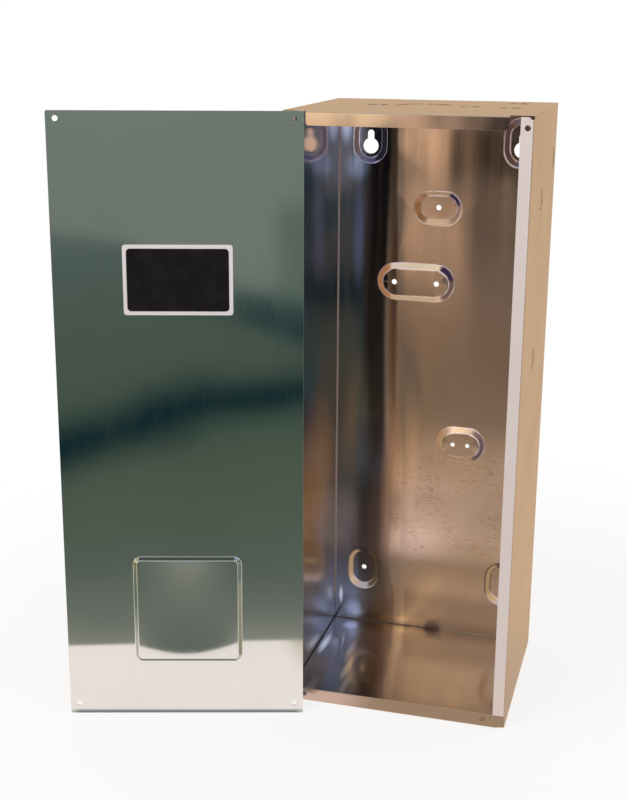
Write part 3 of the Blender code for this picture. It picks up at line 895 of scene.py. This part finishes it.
wallLook = {
    "base": (0.72, 0.64, 0.55),
    "deep": (0.66, 0.58, 0.49),
    # Painted reflection and shade: tints by height on the inside of the left wall
    "leftTint": (
        (0.0, (0.70, 0.66, 0.70)),
        (0.09, (0.70, 0.62, 0.62)),
        (0.12, (0.95, 0.80, 0.62)),
        (0.22, (0.95, 0.78, 0.60)),
        (0.28, (0.66, 0.48, 0.42)),
        (0.52, (0.62, 0.46, 0.44)),
        (0.666, (0.60, 0.52, 0.66)),
    ),
    "leftShare": 0.9,
    "leftGleams": (((-0.127, 0.010, 0.225), (0.01, 0.130, 0.13), (0.12, 0.05, 0.012)),),
    "roughness": 0.10,
    "smear": 0.05,
    "grain": (420, 420, 6),
    "grainShare": 0.06,
    "wave": (14, 14, 5),
    "waveDepth": 0.002,
    "outer": (-0.003, -0.0025),
    "outerFacing": (0.02, 0.04),
    "outside": 0.30,
    "seamBack": (-0.0022, -0.0014),
    "seamFoot": (0.0008, 0.0020),
    "seamShare": 0.85,
    "lower": (0.12, 0.28),
    "lowerRough": 0.10,
    "flange": (0.80, 0.73, 0.72),
    "flangeFront": (0.0003, 0.0007),
    "flangeRough": 0.3,
    "flangePlain": 0.6,
    # Painted light low and painted shade higher up on the back of the flange, seen in the mirror of the
    # back
    "flangeBack": (
        (0.0, (0.95, 0.74, 0.56)),
        (0.20, (0.85, 0.62, 0.46)),
        (0.24, (0.50, 0.36, 0.27)),
        (0.38, (0.45, 0.31, 0.21)),
        (0.47, (0.10, 0.09, 0.08)),
        (0.666, (0.10, 0.09, 0.09)),
    ),
    "behind": (0.0016, 0.0022),
    "behindSide": (-0.003, -0.0015),
    "behindRough": 0.1,
    "behindPlain": 0.9,
    "behindPlainTop": (0.20, 0.24),
}


def wallSteel(side):
    look = wallLook
    material, tree = newTree(side + "WallSteel")
    where = placeOf(tree)
    x, y, z = axes(tree, where)
    low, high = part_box("side_wall_right")
    tone, rough, bump = rolledSteel(tree, where, look)
    outward = x * axes(tree, facingOf(tree))[0]
    outer = spanFrom(abs(x), high.x, look["outer"]) * span(outward, *look["outerFacing"])
    seam = spanFrom(y, high.y, look["seamBack"]) + 1 - spanFrom(z, low.z, look["seamFoot"])
    seam = seam.atMost(1.0) * (1 - outer)
    glow = None
    if side == "left":
        # Painted reflection and shade by height on the left wall's inside, and gleams
        tone = mixed(tree, (1 - outer) * look["leftShare"], tone, heights(tree, z, look["leftTint"]))
        glow = gleams(tree, where, look["leftGleams"], (1 - outer) * (1 - seam), (0, 0, 0))
    # Painted shade along the wall's seams with the back and the floor
    tone = mixed(tree, seam * look["seamShare"], tone, cabinetLook["foldAndSeamShade"])
    front = 1 - spanFrom(y, low.y, look["flangeFront"])
    behind = (1 - front) * (1 - spanFrom(y, low.y, look["behind"]))
    behind = behind * (1 - spanFrom(abs(x), high.x, look["behindSide"]))
    # Painted light and shade on the flange's back
    tone = mixed(tree, behind, tone, heights(tree, z, look["flangeBack"]))
    tone = mixed(tree, front, tone, look["flange"])
    lower = (1 - outer) * (1 - span(z, *look["lower"]))
    rough = rough + outer * look["outside"] + front * look["flangeRough"]
    rough = rough + lower * look["lowerRough"] + behind * look["behindRough"]
    plain = behind * (1 - span(z, *look["behindPlainTop"])) * look["behindPlain"]
    shaded(tree, tone, rough, bump, metallic=1 - (front * look["flangePlain"] + plain), glow=glow)
    return material


coverLook = {
    # Painted reflection: the front's green-grey tone
    "base": (0.64, 0.76, 0.70),
    "deep": (0.61, 0.73, 0.67),
    "roughness": 0.055,
    "smear": 0.02,
    "grain": (600, 600, 9),
    "grainShare": 0.05,
    "wave": (7, 7, 5),
    "waveDepth": 0.0012,
    # Painted reflection on the back, and painted light on its lower corner, which is paler and matt
    "back": (0.44, 0.37, 0.31),
    "backFacing": (-0.4, -0.1),
    "backRough": 0.28,
    "backLow": (0.90, 0.70, 0.54),  # its lower corner beside the cabinet's opening
    "backLowTop": (0.06, 0.14),
    "backLowSide": (0.06, 0.10),
    "backLowPlain": 0.6,
    "square": (-0.22025, -0.16946, 0.12545),
    "squareHalf": (0.055, 0.0575),
    "squareSlope": (0.0003, 0.0021, 0.0002),  # how far its sloped edge stands proud
    "rimShade": (0.30, 0.37, 0.34),
    "rimShare": 0.75,
    "dish": 0.0009,  # the pressed square is a little hollow
}


def coverSteel():
    look = coverLook
    material, tree = newTree("coverSteel")
    where = placeOf(tree)
    tone, rough, bump = rolledSteel(tree, where, look)
    offset = where.vector("SUBTRACT", look["square"])
    proud = offset.vector("DOT_PRODUCT", coverPlace["out"])
    across = offset.vector("DOT_PRODUCT", coverPlace["across"])
    up = offset.vector("DOT_PRODUCT", coverPlace["up"])
    tone = mixed(tree, between(proud, *look["squareSlope"]) * look["rimShare"], tone, look["rimShade"])
    # Painted reflection: the back browner than the front, with a paler lower corner
    rear = 1 - span(facingOf(tree).vector("DOT_PRODUCT", coverPlace["out"]), *look["backFacing"])
    low = (1 - span(up, *look["backLowTop"])) * span(across, *look["backLowSide"])
    tone = mixed(tree, rear, tone, mixed(tree, low, look["back"], look["backLow"]))
    side, tall = [abs(way / half).atMost(1.0) for way, half in zip((across, up), look["squareHalf"])]
    hollow = (1 - side * side) * (1 - tall * tall)
    dish = {"Strength": 1.0, "Distance": look["dish"], "Height": hollow, "Normal": bump}
    bump = tree.node("Bump", {"invert": True}, dish)
    plain = rear * low * look["backLowPlain"]
    shaded(tree, tone, rough + rear * look["backRough"], bump, metallic=1 - plain)
    return material


plateLook = {
    "base": (0.84, 0.79, 0.81),
    "deep": (0.78, 0.73, 0.75),
    "roughness": 0.38,
    "smear": 0.04,
    "grain": (900, 900, 900),
    "grainShare": 0.1,
    "wave": (20, 20, 20),
    "waveDepth": 0.0003,
    "metallic": 0.35,
}


def plateMetal():
    material, tree = newTree("plateMetal")
    tone, rough, bump = rolledSteel(tree, placeOf(tree), plateLook)
    shaded(tree, tone, rough, bump, metallic=plateLook["metallic"])
    return material


enamelLook = {
    "base": (0.005, 0.0045, 0.004),
    "wearAndPaintedLight": (0.009, 0.008, 0.007),
    "patch": (60.0, 3.0),
    "patchEdge": (0.35, 0.7),
    "grit": (900.0, 2.0),
    "gritStrength": 0.15,
    "gritDepth": 0.0001,
    "gritRough": 0.1,
    "roughness": 0.42,
    "gloss": 0.15,
    "softEdge": 0.0001,
}


def plateEnamel():
    look = enamelLook
    material, tree = newTree("plateEnamel")
    where = placeOf(tree)
    grit = noise(tree, where, *look["grit"])
    patch = noise(tree, where, *look["patch"])
    raised = {"Strength": look["gritStrength"], "Distance": look["gritDepth"], "Height": grit}
    bump = tree.node("Bump", values=raised)
    tone = mixed(tree, span(patch, *look["patchEdge"]), look["base"], look["wearAndPaintedLight"])
    rough = look["roughness"] + grit * look["gritRough"]
    shaded(tree, tone, rough, bump, metallic=0.0, Specular_IOR_Level=look["gloss"])
    return material


sheetEdge = {
    "merge": 0.00001,
    "flat": 0.5,  # degrees, within which triangles make one face
    "angle": 22,  # degrees, more than a pad's facets turn
    "width": 0.0002,
    "segments": 2,
    "weight": 80,
}


# A copy of a CAD node, welded, with its sharp edges eased
def dressed(node, material, softEdge=sheetEdge["width"]):
    angle = math.radians(sheetEdge["angle"])
    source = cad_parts[node]
    bpy.ops.object.select_all(action="DESELECT")
    piece = source.copy()
    piece.data = source.data.copy()
    piece.name = node + "Sheet"
    bpy.context.collection.objects.link(piece)
    bpy.context.view_layer.objects.active = piece
    piece.select_set(True)
    bpy.ops.object.mode_set(mode="EDIT")
    bpy.ops.mesh.select_all(action="SELECT")
    bpy.ops.mesh.remove_doubles(threshold=sheetEdge["merge"])
    flat = math.radians(sheetEdge["flat"])
    bpy.ops.mesh.tris_convert_to_quads(face_threshold=flat, shape_threshold=math.pi)
    bpy.ops.object.mode_set(mode="OBJECT")
    bpy.ops.object.shade_smooth_by_angle(angle=angle)
    ease = piece.modifiers.new("Eased", "BEVEL")
    ease.width = softEdge
    ease.segments = sheetEdge["segments"]
    ease.limit_method = "ANGLE"
    ease.angle_limit = angle
    ease.use_clamp_overlap = False
    ease.harden_normals = True
    bpy.ops.object.modifier_apply(modifier=ease.name)
    weight = piece.modifiers.new("Weighted", "WEIGHTED_NORMAL")
    weight.keep_sharp = True
    weight.weight = sheetEdge["weight"]
    bpy.ops.object.modifier_apply(modifier=weight.name)
    piece.data.materials.clear()
    piece.data.materials.append(material)
    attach(piece, "root")
    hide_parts(node)


dressed("wrapper", cabinetSteel())
for side in ("left", "right"):
    dressed("side_wall_" + side, wallSteel(side))
dressed("cover", coverSteel())
dressed("nameplate", plateMetal())
dressed("nameplate_field", plateEnamel(), enamelLook["softEdge"])
print("pieces finished")

bpy.context.scene.view_settings.view_transform = "Standard"
